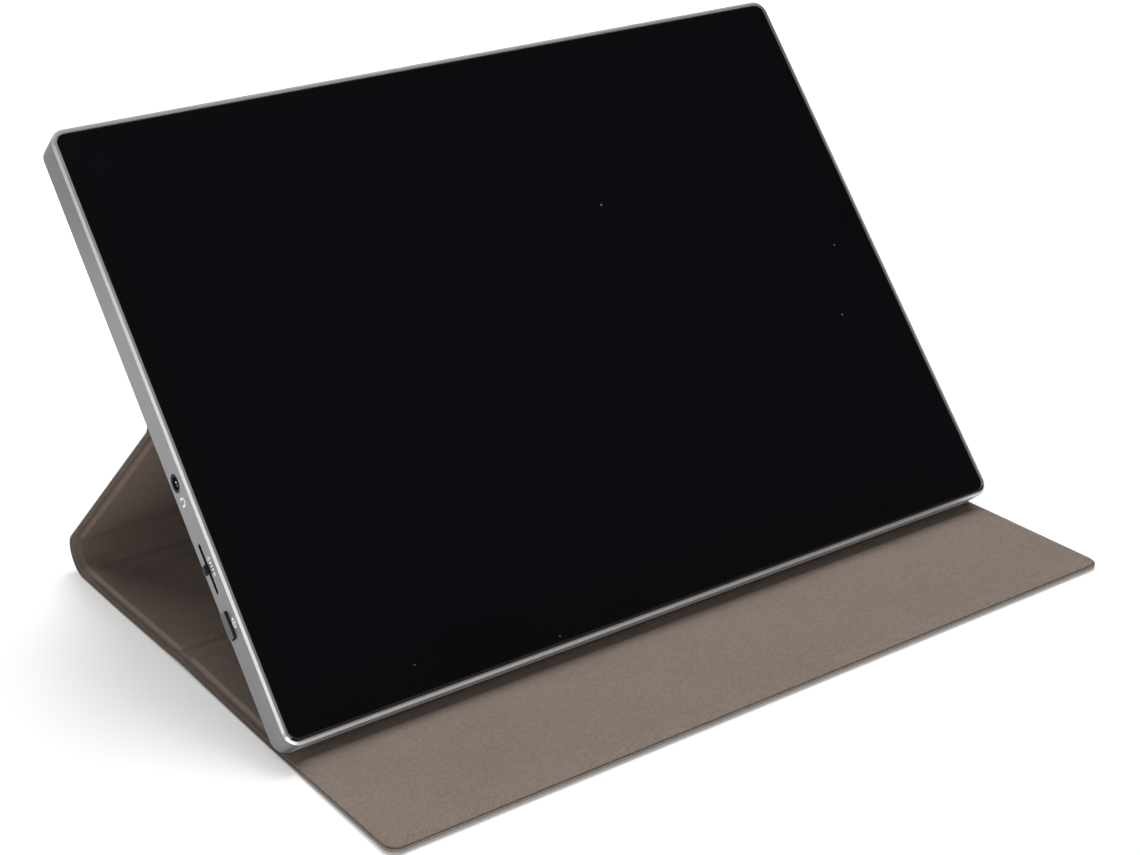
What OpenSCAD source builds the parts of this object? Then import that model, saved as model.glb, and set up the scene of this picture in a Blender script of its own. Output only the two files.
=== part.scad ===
// Portable monitor standing in its folding cover.
// Frame: X along the width of the screen, screen facing -Y, Z up, table at Z = 0,
// origin at the middle of the footprint of the whole object.

/* [Monitor] */
// Width of the metal shell
mon_w = 238.7; // [236:0.1:242]
// Height of the metal shell, measured along the screen
mon_h = 169.75; // [168:0.05:172]
// Thickness of the monitor
mon_t = 9.75; // [9.6:0.05:10.2]
// Radius of the shell's corners, seen from the front
corner_r = 4.2; // [3.6:0.1:5]
// Thickness of the shell's side walls
wall_t = 1.6; // [1.4:0.1:1.8]
// Thickness of the shell's back wall
back_t = 1.2; // [1:0.1:1.3]
// Depth of the bright chamfer round the front edge
bevel_d = 0.54; // [0.3:0.02:0.7]
// Inset of the bright chamfer round the front edge
bevel_i = 0.71; // [0.4:0.02:0.8]
// Width of the metal rim round the glass, chamfer included
rim_w = 1.36; // [1.2:0.02:1.5]
// Gap between the rim and the glass
glass_gap = 0.22; // [0.15:0.01:0.3]

/* [Display] */
// Width of the lit area
active_w = 222; // [218:1:223]
// Height of the lit area
active_h = 148; // [146:1:149]
// Sideways offset of the lit area from the middle of the shell
active_dx = -0.3; // [-0.6:0.1:0.6]
// Height of the middle of the lit area above the shell's lower edge
active_cy = 88.8; // [88:0.1:89.5]

/* [Side controls] */
// Height of the headphone socket along the left edge
jack_s = 72.76; // [71:0.1:74]
// Height of the middle of the menu lever's slit
menu_s = 49.46; // [48.5:0.1:50.5]
// Length of the menu lever's slit
slit_len = 13.5; // [12.5:0.5:13.5]
// How far the menu lever stands out of the edge
knob_proud = 1.3; // [1.1:0.1:1.6]
// Height of the middle of the power button
power_s = 34.36; // [34:0.1:35]
// How far the power button stands out of the edge
power_proud = 0.75; // [0.6:0.05:0.9]

/* [Cover] */
// Width of the cover
cover_w = 237.1; // [234:0.1:238]
// Sideways offset of the cover from the middle of the monitor
cover_dx = 0.89; // [-0.9:0.01:0.9]
// Thickness of the outer skin
skin_t = 0.6; // [0.5:0.05:0.7]
// Thickness of the stiffening boards
board_t = 1.2; // [1:0.05:1.3]
// Thickness of the soft lining
lining_t = 0.5; // [0.4:0.05:0.5]
// Margin from the cover's edge to the boards
margin = 3.8; // [3.4:0.1:5]
// Radius of the cover's free corners
cover_r = 3.6; // [2:0.1:5]

/* [Stand pose] */
// Lean of the screen from the table
tilt = 49.72; // [49:0.02:50.4]
// Lean of the strut panel from the table
strut_lean = 41.2; // [40.8:0.1:41.6]
// Depth of the front flap, from its free edge to its fold
flap_len = 48; // [47:0.1:49]
// Depth of the floor panel that the monitor's edge stands on
mid_len = 61.7; // [60:0.1:63]
// Depth of the rear floor panel, up to the spine
rear_len = 61.4; // [61:0.1:63]
// Outer radius of the curved spine
spine_r = 7.6; // [7.2:0.1:8]
// Height up the monitor's back at which the cover leaves it
crease_s = 90.8; // [90:0.1:91.5]

/* [Hidden] */

hw = mon_w / 2;
fabric_t = skin_t + lining_t;              // soft strip where there is no board
panel_t = skin_t + board_t + lining_t;     // full thickness over a board
mid_z = fabric_t / 2;                      // fold axes lie in the middle of the strip

// sideways placing: the footprint's middle is X = 0
x_lo = -hw - knob_proud;
x_hi = max(hw, cover_dx + cover_w / 2);
mon_x = -(x_lo + x_hi) / 2;
cov_x = mon_x + cover_dx;

// fore-and-aft placing: the footprint's middle is Y = 0
y_front = -(flap_len + mid_len + rear_len + spine_r) / 2;
y_flap = y_front + flap_len;               // fold of the front flap
y_mid = y_flap + mid_len;                  // fold between the floor panels
y_rear = y_mid + rear_len;                 // rear floor panel to spine
r_mid = spine_r - mid_z;                   // middle of the spine's thickness
spine_end = 20.8;                          // polar angle where the strut takes over
spine_cut = -24;                           // polar angle of the line along which the spine bends
z_sp = spine_r;
strut_a = 180 - strut_lean;
y_c = y_rear + r_mid * cos(spine_end);     // fold between spine and strut
z_c = z_sp + r_mid * sin(spine_end);
crease_d = 3.0;                            // crease axis, behind the monitor's back
crease_h = 0.95;                           // crease axis, beyond the strut's middle line
z_edge = fabric_t + 0.05;                  // the monitor's lower back edge
z_h = z_edge + crease_s * sin(tilt) - crease_d * cos(tilt);
strut_len = (z_h - z_c - crease_h * cos(strut_lean)) / sin(strut_lean);
y_h = y_c - strut_len * cos(strut_lean) + crease_h * sin(strut_lean);
y_edge = y_h - crease_s * cos(tilt) - crease_d * sin(tilt);

// depths inside the monitor, from the back (0) to the front (mon_t)
h_pcb = back_t + 0.1;
pcb_t = 0.8;
h_parts = h_pcb + pcb_t;
h_glass = mon_t - 0.05;
glass_t = 0.98;
tape_t = 0.17;
h_ledge = h_glass - glass_t - tape_t;
h_cell = h_glass - glass_t;
cell_t = 0.9;
h_tray = 6.3;
h_jack = mon_t - 5.76;
h_menu = mon_t - 5.9;
h_power = mon_t - 6.5;
h_usb = h_parts + 1.65;

$fn = 48;

// ---------------------------------------------------------------- placing
module at_monitor() translate([mon_x, y_edge, z_edge]) rotate([tilt, 0, 0]) children();
// local Y runs up the strut from the spine fold, local Z points to its lined side
module at_strut() translate([cov_x, y_c, z_c]) rotate([strut_a, 0, 0]) translate([0, 0, -0.5]) children();
module at_floor(y) translate([cov_x, y, 0]) children();
// local Y runs up the monitor's back, local Z = 0 is the outside of the cover
module at_back() at_monitor() translate([cover_dx, 0, -panel_t]) children();

// ---------------------------------------------------------------- shapes
// rounded rectangle, middle of the lower edge at the origin, radii below and above
module plan(w, l, r0, r1) {
    difference() {
        translate([-w / 2, 0]) square([w, l]);
        if (r0 > 0) for (s = [-1, 1]) translate([s * w / 2, 0]) corner_cut(r0, s, 1);
        if (r1 > 0) for (s = [-1, 1]) translate([s * w / 2, l]) corner_cut(r1, s, -1);
    }
}
module corner_cut(r, sx, sy) difference() {
    translate([sx > 0 ? -r : -0.5, sy > 0 ? -0.5 : -r]) square(r + 0.5);
    translate([-sx * r, sy * r]) circle(r);
}
// slab of the monitor's outline, inset by i, from height z0 to z1
module slab(i, z0, z1) translate([0, i, z0])
    linear_extrude(z1 - z0) plan(mon_w - 2 * i, mon_h - 2 * i, max(corner_r - i, 0.8), max(corner_r - i, 0.8));
// the same outline with its sides leaning from inset i0 to inset i1
module frustum(i0, i1, z0, z1) {
    c = corner_r;
    for (x = [-hw + c, hw - c], y = [c, mon_h - c]) translate([x, y, z0])
        cylinder(h = z1 - z0, r1 = c - i0, r2 = c - i1, $fn = 64);
    translate([-hw + c, 0, 0]) rotate([90, 0, 90]) linear_extrude(mon_w - 2 * c)
        polygon([[i0, z0], [mon_h - i0, z0], [mon_h - i1, z1], [i1, z1]]);
    translate([0, mon_h - c, 0]) rotate([90, 0, 0]) linear_extrude(mon_h - 2 * c)
        polygon([[-hw + i0, z0], [hw - i0, z0], [hw - i1, z1], [-hw + i1, z1]]);
}
module box(x0, x1, y0, y1, z0, z1) translate([x0, y0, z0]) cube([x1 - x0, y1 - y0, z1 - z0]);
// bar along X with a rounded (stadium) section, l long in Y and t thick in Z
module stadium(x0, x1, y, z, l, t) translate([x0, y, z]) rotate([90, 0, 90]) linear_extrude(x1 - x0) union() {
    square([l - t, t], center = true);
    for (s = [-1, 1]) translate([s * (l - t) / 2, 0]) circle(t / 2);
}
module boss_spots() for (p = concat(key_spots, main_spots)) translate([p[0], p[1], 0]) children();
key_spots = [[-103.5, 28], [-103.5, 64], [-103.5, 79]];
main_spots = [[48, 28], [48, 86], [104, 84], [98, 28]];
magnet_xs = [-84, -30, 30, 84];

// ---------------------------------------------------------------- cover panels
module skin(l, r0 = 0, r1 = 0) linear_extrude(skin_t) plan(cover_w, l, r0, r1);
module board(l, b0, b1) translate([0, b0, skin_t]) linear_extrude(board_t)
    plan(cover_w - 2 * margin, b1 - b0, 1.5, 1.5);
module lining(l, b0, b1, r0 = 0, r1 = 0) difference() {
    union() {
        translate([0, 0, skin_t]) linear_extrude(lining_t) plan(cover_w, l, r0, r1);
        translate([0, b0 - 0.5, skin_t]) linear_extrude(board_t + lining_t)
            plan(cover_w - 2 * margin + 1, b1 - b0 + 1, 2, 2);
    }
    translate([0, b0, skin_t - 1]) linear_extrude(board_t + 1) plan(cover_w - 2 * margin, b1 - b0, 1.5, 1.5);
}
module arc_strip(r0, r1, a0, a1) translate([cov_x - cover_w / 2, y_rear, z_sp]) rotate([90, 0, 90])
    linear_extrude(cover_w) intersection() {
        difference() { circle(r1, $fn = 96); circle(r0, $fn = 96); }
        polygon([[0, 0], 20 * [cos(a0), sin(a0)], 20 * [cos((a0 + a1) / 2), sin((a0 + a1) / 2)], 20 * [cos(a1), sin(a1)]]);
    }

// panel lengths and board ends, measured from the panel's own lower end
bl = [93.4 + 0.2, 168.4];            // back panel on the monitor: start and end up its back
back_l = bl[1] - bl[0] + 1.7;
back_b = [2.2, back_l - margin];
strut_l = strut_len - 1.4 - 0.3;
strut_b = [3.2, strut_l - 2.8];
rear_l = rear_len - 0.8;
rear_b = [2.4, rear_l - 2.7];
mid_l = mid_len - 0.8 - 0.9;
mid_b = [6.6, mid_l - 2];
flap_l = flap_len - 0.9;
flap_b = [margin, flap_l - 1.4];

module front_flap_skin() color([0.45, 0.41, 0.37]) at_floor(y_front) skin(flap_l, cover_r, 0);
module front_flap_board() color([0.72, 0.66, 0.55]) at_floor(y_front) difference() {
    board(flap_l, flap_b[0], flap_b[1]);
    for (x = magnet_xs) translate([x - 10, 9, skin_t + 0.1]) cube([20, 5, 2]);
}
module front_flap_lining() color([0.5, 0.45, 0.41]) at_floor(y_front) lining(flap_l, flap_b[0], flap_b[1], cover_r, 0);
module front_flap_magnets() color([0.7, 0.7, 0.72]) at_floor(y_front)
    for (x = magnet_xs) translate([x - 9.9, 9.1, skin_t + 0.1]) cube([19.8, 4.8, board_t - 0.1]);

module mid_floor_skin() color([0.45, 0.41, 0.37]) at_floor(y_flap + 0.9) skin(mid_l);
module mid_floor_board() color([0.72, 0.66, 0.55]) at_floor(y_flap + 0.9) board(mid_l, mid_b[0], mid_b[1]);
module mid_floor_lining() color([0.5, 0.45, 0.41]) at_floor(y_flap + 0.9) lining(mid_l, mid_b[0], mid_b[1]);

module rear_floor_skin() color([0.45, 0.41, 0.37]) at_floor(y_mid + 0.8) skin(rear_l);
module rear_floor_board() color([0.72, 0.66, 0.55]) at_floor(y_mid + 0.8) board(rear_l, rear_b[0], rear_b[1]);
module rear_floor_lining() color([0.5, 0.45, 0.41]) at_floor(y_mid + 0.8) lining(rear_l, rear_b[0], rear_b[1]);

module spine_lower_skin() color([0.45, 0.41, 0.37]) arc_strip(spine_r - skin_t, spine_r, -90, spine_cut - 1.9);
module spine_lower_lining() color([0.5, 0.45, 0.41]) arc_strip(spine_r - fabric_t, spine_r - skin_t, -90, spine_cut - 1.9);
module spine_upper_skin() color([0.45, 0.41, 0.37]) arc_strip(spine_r - skin_t, spine_r, spine_cut + 1.9, spine_end - 1.6);
module spine_upper_lining() color([0.5, 0.45, 0.41]) arc_strip(spine_r - fabric_t, spine_r - skin_t, spine_cut + 1.9, spine_end - 1.6);

module strut_skin() color([0.45, 0.41, 0.37]) at_strut() translate([0, 0.3, 0]) skin(strut_l);
module strut_board() color([0.72, 0.66, 0.55]) at_strut() translate([0, 0.3, 0]) board(strut_l, strut_b[0], strut_b[1]);
module strut_lining() color([0.5, 0.45, 0.41]) at_strut() translate([0, 0.3, 0]) lining(strut_l, strut_b[0], strut_b[1]);

module back_panel_skin() color([0.45, 0.41, 0.37]) at_back() translate([0, bl[0] - 1.7, 0]) skin(back_l, 0, cover_r);
module back_panel_board() color([0.72, 0.66, 0.55]) at_back() translate([0, bl[0] - 1.7, 0]) difference() {
    board(back_l, back_b[0], back_b[1]);
    for (x = magnet_xs, y = [14, 60]) translate([x - 10 - cover_dx, y, skin_t + 0.1]) cube([20, 5, 2]);
}
module back_panel_lining() color([0.5, 0.45, 0.41]) at_back() translate([0, bl[0] - 1.7, 0])
    lining(back_l, back_b[0], back_b[1], 0, cover_r);
module back_panel_magnets() color([0.7, 0.7, 0.72]) at_back() translate([0, bl[0] - 1.7, 0])
    for (x = magnet_xs, y = [14, 60]) translate([x - 9.9 - cover_dx, y + 0.1, skin_t + 0.1]) cube([19.8, 4.8, board_t - 0.1]);

// ---------------------------------------------------------------- monitor casing
module rear_shell() color([0.62, 0.62, 0.62]) at_monitor() difference() {
    union() {
        difference() {
            union() {
                frustum(0.4, 0, 0, 0.4);
                slab(0, 0.4, mon_t - bevel_d);
                frustum(0, bevel_i, mon_t - bevel_d, mon_t);
            }
            slab(wall_t, back_t, h_ledge - 0.85);
            slab(4.2, h_ledge - 1, mon_t + 1);
            slab(rim_w, h_ledge, mon_t + 1);
        }
        boss_spots() translate([0, 0, back_t - 0.2]) cylinder(r = 1.9, h = h_parts - 0.05 - back_t + 0.2);
    }
    boss_spots() translate([0, 0, 0.6]) cylinder(r = 0.72, h = 4);
    // headphone socket
    translate([-hw - 1, jack_s, h_jack]) rotate([0, 90, 0]) cylinder(r = 2.55, h = 4);
    // menu lever's slit
    stadium(-hw - 1, -hw + 3, menu_s, h_menu, slit_len, 1.5);
    // power button's opening
    stadium_block(-hw - 1, -hw + 3, power_s, h_power, 7.5, 3.9, 0.75);
    // sockets on the other side
    for (y = [36, 52]) stadium(hw - 3, hw + 1, y, h_usb, 9.2, 3.5);
    box(hw - 3, hw + 1, 68 - 5.9, 68 + 5.9, h_usb - 1.85, h_usb + 1.85);
    // sound slots over the loudspeakers
    for (s = [-1, 1], k = [0:7]) translate([s * 88 + (k - 3.5) * 3.2, 13, -1])
        linear_extrude(4) union() {
            square([1.1, 6], center = true);
            for (e = [-3, 3]) translate([0, e]) circle(0.55);
        }
}
module front_glass() color([0.03, 0.03, 0.035]) at_monitor() {
    i = rim_w + glass_gap;
    slab(i, h_glass - glass_t, h_glass - 0.15);
    frustum(i, i + 0.15, h_glass - 0.15, h_glass);
}
module glass_tape() color([0.05, 0.05, 0.05]) at_monitor() difference() {
    slab(rim_w + glass_gap + 0.2, h_ledge, h_ledge + tape_t);
    slab(4.0, h_ledge - 1, h_ledge + 2);
}
module panel_box(w, h, z0, z1) translate([active_dx - w / 2, active_cy - h / 2, z0]) cube([w, h, z1 - z0]);
module lcd_cell() color([0.06, 0.06, 0.08]) at_monitor() panel_box(active_w + 4.4, active_h + 5, h_cell - cell_t, h_cell);
module backlight_tray() color([0.75, 0.75, 0.76]) at_monitor() difference() {
    panel_box(active_w + 5, active_h + 5.2, h_tray, h_cell - cell_t - 0.05);
    panel_box(active_w + 4.4, active_h + 4.6, h_tray + 0.3, h_cell);
}
module light_guide() color([0.9, 0.93, 0.95]) at_monitor()
    translate([0, 0.8, 0]) panel_box(active_w + 4, active_h + 2.8, h_tray + 0.35, h_cell - cell_t - 0.1);
module led_strip() color([0.95, 0.95, 0.85]) at_monitor()
    translate([active_dx - active_w / 2, active_cy - active_h / 2 - 2.2, h_tray + 0.35]) {
        cube([active_w, 0.5, 0.9]);
        for (k = [0:35]) translate([3 + k * (active_w - 8) / 35, 0.45, 0.15]) cube([2, 0.85, 0.6]);
    }
module panel_driver_board() color([0.1, 0.3, 0.2]) at_monitor() {
    box(-60, 60, 17, 23, h_tray - 0.6, h_tray);
    for (k = [0:5]) box(-50 + k * 18, -44 + k * 18, 18.5, 21.5, h_tray - 1.1, h_tray - 0.55);
}
module panel_flex() color([0.75, 0.5, 0.15]) at_monitor() translate([56, 0, 0]) rotate([90, 0, 90]) linear_extrude(14)
    polygon([[23.1, h_tray - 0.15], [36, h_tray - 0.15], [36, h_parts + 1.2], [39, h_parts + 1.2],
        [39, h_parts + 1.05], [35.85, h_parts + 1.05], [35.85, h_tray - 0.3], [23.1, h_tray - 0.3]]);

// ---------------------------------------------------------------- electronics
module board_holes(spots) for (p = spots) translate([p[0], p[1], 0]) cylinder(r = 2.1, h = 10);
module main_board() color([0.08, 0.25, 0.16]) at_monitor() difference() {
    box(42, hw - wall_t - 0.6, 23, 92, h_pcb, h_parts);
    board_holes(main_spots);
}
module board_insulator() color([0.12, 0.12, 0.13]) at_monitor() difference() {
    box(40, hw - wall_t - 0.3, 21.5, 94, back_t, h_pcb);
    board_holes(main_spots);
}
module key_board() color([0.08, 0.25, 0.16]) at_monitor() difference() {
    box(-hw + wall_t + 0.6, -99, 24, 83, h_pcb, h_parts);
    board_holes(key_spots);
    box(-hw, -105, jack_s - 3.4, jack_s + 3.4, 0, 9);
    box(-hw, -hw + 7, power_s - 5, power_s + 5, 0, 9);
}
module main_board_parts() color([0.1, 0.1, 0.11]) at_monitor() {
    box(62, 76, 58, 72, h_parts, h_parts + 1.2);        // scaler chip
    box(80, 88, 60, 70, h_parts, h_parts + 1);          // memory
    box(84, 92, 36, 44, h_parts, h_parts + 0.9);        // power chip
    for (y = [34, 44, 54]) box(96, 102, y, y + 6, h_parts, h_parts + 2.8);  // coils
    for (k = [0:6]) box(46 + k * 4, 48.5 + k * 4, 50, 51.5, h_parts, h_parts + 1);
    box(54, 72, 36.2, 40, h_parts, h_parts + 1.05);     // panel connector
    box(43, 47, 60, 76, h_parts, h_parts + 1.3);        // key board connector
    translate([56, 84, h_parts]) cylinder(r = 2.2, h = 3.2);
    translate([63, 84, h_parts]) cylinder(r = 2.2, h = 3.2);
}
module shield_can() color([0.8, 0.8, 0.8]) at_monitor() difference() {
    box(59, 91, 55.5, 74.5, h_parts, h_parts + 2);
    box(59.2, 90.8, 55.7, 74.3, h_parts - 1, h_parts + 1.8);
}
module board_cable() color([0.9, 0.9, 0.9]) at_monitor() {
    box(-99.9, 45, 62, 74, h_parts + 1.3, h_parts + 1.45);
    box(-104, -99.9, 67, 74, h_parts + 1.3, h_parts + 1.45);
    box(-104, -99.2, 67, 75.6, h_parts, h_parts + 1.3);   // connector on the key board
}
module board_screws() color([0.3, 0.3, 0.32]) at_monitor() boss_spots() {
    difference() {
        translate([0, 0, h_parts]) cylinder(r = 2.6, h = 0.7);
        translate([0, 0, h_parts + 0.3]) for (a = [0, 90]) rotate([0, 0, a]) cube([2.6, 0.5, 1.2], center = true);
    }
    translate([0, 0, 0.8]) cylinder(r = 0.7, h = h_parts - 0.7);
}
module headphone_jack() color([0.05, 0.05, 0.05]) at_monitor() difference() {
    union() {
        translate([-hw + 0.05, jack_s, h_jack]) rotate([0, 90, 0]) cylinder(r = 2.5, h = 2);
        box(-hw + wall_t + 0.1, -hw + wall_t + 11.6, jack_s - 3, jack_s + 3, h_jack - 2.24, h_jack + 2.25);
    }
    translate([-hw - 1, jack_s, h_jack]) rotate([0, 90, 0]) cylinder(r = 1.8, h = 13.2);
}
module menu_switch() color([0.08, 0.08, 0.08]) at_monitor() {
    x = -hw + wall_t;
    difference() {
        box(x + 0.15, x + 6.4, menu_s - 8, menu_s + 8, h_parts, h_menu + 1.85);
        box(x - 1, x + 5, menu_s - 6.6, menu_s + 6.6, h_menu - 1.4, h_menu + 1.4);
    }
}
module menu_slider() color([0.2, 0.2, 0.2]) at_monitor() difference() {
    box(-hw + wall_t + 0.6, -hw + wall_t + 3.6, menu_s - 3.2, menu_s + 3.2, h_menu - 1.1, h_menu + 1.1);
    box(-hw, -hw + 9, menu_s - 1.5, menu_s + 1.5, h_menu - 0.7, h_menu + 0.7);
}
module menu_knob() color([0.04, 0.04, 0.04]) at_monitor() {
    x = -hw + wall_t;
    difference() {
        // the head narrows towards its tip, mostly on its upper side
        translate([0, menu_s, h_menu - 0.85]) linear_extrude(1.7)
            polygon([[-hw - 0.4, -1.4], [-hw - 0.4, 1.4], [-hw - knob_proud, 0.9], [-hw - knob_proud, -1.25]]);
        for (y = [-0.8, -0.2, 0.4]) translate([-hw - knob_proud - 0.1, menu_s + y - 0.12, h_menu - 2]) cube([0.25, 0.24, 4]);
    }
    box(-hw - 0.45, x + 4, menu_s - 1.2, menu_s + 1.2, h_menu - 0.3, h_menu + 0.3);
    box(x + 3.9, x + 4.3, menu_s - 2, menu_s + 2, h_menu - 0.6, h_menu + 0.6);
}
// bar along X with a rounded-rectangle section, l long in Y, t thick in Z, radius r
module stadium_block(x0, x1, y, z, l, t, r) translate([x0, y - l / 2, z - t / 2])
    rotate([90, 0, 90]) translate([l / 2, 0, 0]) linear_extrude(x1 - x0) plan(l, t, r, r);
module power_button() color([0.66, 0.66, 0.67]) at_monitor() {
    x = -hw + wall_t;
    stadium_block(-hw - power_proud, x + 0.2, power_s, h_power, 6.9, 3.3, 0.6);
    box(x + 0.15, x + 0.75, power_s - 4.4, power_s + 4.4, h_power - 1.75, h_power + 1.75);
    box(x + 0.7, x + 1.9, power_s - 0.9, power_s + 0.9, h_power - 0.6, h_power + 0.6);
}
module power_switch() color([0.08, 0.08, 0.08]) at_monitor() {
    x = -hw + wall_t;
    box(x + 2.9, x + 6.2, power_s - 3, power_s + 3, h_power - 1.15, h_power + 1.9);
    translate([x + 2.35, power_s, h_power]) rotate([0, 90, 0]) cylinder(r = 1, h = 0.7);
}
module usb_c_sockets() color([0.75, 0.75, 0.77]) at_monitor() for (y = [36, 52]) {
    difference() {
        stadium(hw - 9, hw - 0.3, y, h_usb, 8.9, 3.2);
        stadium(hw - 7.4, hw + 1, y, h_usb, 8.34, 2.6);
    }
    box(hw - 7.5, hw - 1.5, y - 3.3, y + 3.3, h_usb - 0.35, h_usb + 0.35);
    box(hw - 9, hw - 3.5, y - 3.6, y + 3.6, h_parts, h_parts + 0.3);
}
module hdmi_socket() color([0.75, 0.75, 0.77]) at_monitor() {
    y = 68;
    difference() {
        box(hw - 9, hw - 0.3, y - 5.6, y + 5.6, h_parts, h_usb + 1.6);
        translate([hw - 8, y, h_usb]) rotate([90, 0, 90]) linear_extrude(10)
            polygon([[-5.2, 1.25], [5.2, 1.25], [5.2, -0.2], [4.2, -1.25], [-4.2, -1.25], [-5.2, -0.2]]);
    }
    box(hw - 8.1, hw - 1.8, y - 4, y + 4, h_usb, h_usb + 0.6);
}
module speakers() color([0.07, 0.07, 0.07]) at_monitor() for (s = [-1, 1]) translate([s * 88, 13, 0]) {
    difference() {
        box(-20, 20, -6.5, 6.5, back_t, back_t + 4);
        box(-15, 15, -4.5, 4.5, back_t - 1, back_t + 0.6);
    }
    box(-14, 14, -4, 4, back_t + 0.25, back_t + 0.45);
}
module shell_magnets() color([0.7, 0.7, 0.72]) at_monitor()
    for (x = magnet_xs, y = [14, 60]) translate([x - 9.9, bl[0] - 1.7 + y + 0.1, back_t]) cube([19.8, 4.8, 2]);

rear_shell();
front_glass();
glass_tape();
lcd_cell();
light_guide();
led_strip();
backlight_tray();
panel_driver_board();
panel_flex();
main_board();
board_insulator();
main_board_parts();
shield_can();
board_cable();
key_board();
board_screws();
headphone_jack();
menu_switch();
power_switch();
usb_c_sockets();
hdmi_socket();
speakers();
shell_magnets();
back_panel_skin();
back_panel_board();
back_panel_lining();
back_panel_magnets();
menu_slider();
menu_knob();
power_button();
strut_skin();
strut_board();
strut_lining();
spine_upper_skin();
spine_upper_lining();
spine_lower_skin();
spine_lower_lining();
rear_floor_skin();
rear_floor_board();
rear_floor_lining();
mid_floor_skin();
mid_floor_board();
mid_floor_lining();
front_flap_skin();
front_flap_board();
front_flap_lining();
front_flap_magnets();
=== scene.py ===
import bpy
import math
import numpy as np
from mathutils import Vector, Matrix


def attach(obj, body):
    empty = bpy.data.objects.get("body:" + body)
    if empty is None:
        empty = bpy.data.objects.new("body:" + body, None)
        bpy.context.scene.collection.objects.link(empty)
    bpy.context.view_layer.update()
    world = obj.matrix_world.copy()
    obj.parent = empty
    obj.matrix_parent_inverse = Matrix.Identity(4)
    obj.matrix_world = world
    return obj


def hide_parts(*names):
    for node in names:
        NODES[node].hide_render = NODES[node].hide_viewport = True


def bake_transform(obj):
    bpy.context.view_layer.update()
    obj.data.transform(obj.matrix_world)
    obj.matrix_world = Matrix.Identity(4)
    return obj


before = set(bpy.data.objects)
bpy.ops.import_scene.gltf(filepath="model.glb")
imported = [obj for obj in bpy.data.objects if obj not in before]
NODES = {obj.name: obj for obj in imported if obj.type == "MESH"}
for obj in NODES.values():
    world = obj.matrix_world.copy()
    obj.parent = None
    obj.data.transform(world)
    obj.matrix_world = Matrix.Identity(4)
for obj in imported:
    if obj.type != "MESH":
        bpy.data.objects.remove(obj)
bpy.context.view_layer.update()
MM = 0.001
scene = bpy.context.scene

# ------------------------------------------------------------------ sizes, mm, as in the CAD
HW = 238.7 / 2
MON_H = 169.75
MON_T = 9.75
BEVEL_D, BEVEL_I, RIM, GAP = 0.54, 0.71, 1.36, 0.22
PROUD = 1.3
COVER_W = 237.1
COVER_DX = 0.89
TILT = math.radians(49.72)
LEAN = math.radians(41.2)
FLAP, MID, REAR, SPINE_R = 48.0, 61.7, 61.4, 7.6
X_LO, X_HI = -HW - PROUD, max(HW, COVER_DX + COVER_W / 2)
MON_X = -(X_LO + X_HI) / 2
COV_X = MON_X + COVER_DX
Y0 = -(FLAP + MID + REAR + SPINE_R) / 2
CT, ST = math.cos(TILT), math.sin(TILT)
Y_C = Y0 + FLAP + MID + REAR + 7.05 * math.cos(math.radians(20.8))
Z_C = SPINE_R + 7.05 * math.sin(math.radians(20.8))
Z_EDGE = 1.15
Z_H = Z_EDGE + 90.8 * ST - 3.0 * CT
STRUT = (Z_H - Z_C - 0.95 * math.cos(LEAN)) / math.sin(LEAN)
Y_H = Y_C - STRUT * math.cos(LEAN) + 0.95 * math.sin(LEAN)
Y_EDGE = Y_H - 90.8 * CT - 3.0 * ST


def mon(x, s, h):
    """A point of the monitor: x from its middle, s up its back from the lower edge, h from its back to its front, in metres."""
    return Vector(((MON_X + x) * MM, (Y_EDGE + s * CT - h * ST) * MM, (Z_EDGE + s * ST + h * CT) * MM))


# ------------------------------------------------------------------ camera, as the photograph's
def make_camera():
    az, el, roll = math.radians(-35.102), math.radians(23.834), math.radians(-0.999)
    back = Vector((math.sin(az) * math.cos(el), -math.cos(az) * math.cos(el), math.sin(el)))
    right = (-back).cross(Vector((0, 0, 1))).normalized()
    up = right.cross(-back)
    r = right * math.cos(roll) + up * math.sin(roll)
    u = -right * math.sin(roll) + up * math.cos(roll)
    cam = bpy.data.objects.new("camera", bpy.data.cameras.new("camera"))
    scene.collection.objects.link(cam)
    cam.data.sensor_width = 36.0
    cam.data.lens = 2134.74 * 36.0 / 1140.0
    cam.data.clip_start, cam.data.clip_end = 0.01, 50.0
    m = Matrix((r, u, back)).transposed().to_4x4()
    m.translation = Vector(((-198.290 - 118.0 + MON_X) * MM, (-356.822 + Y0) * MM, 286.175 * MM))
    cam.matrix_world = m
    scene.camera = cam
    return cam


make_camera()


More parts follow.
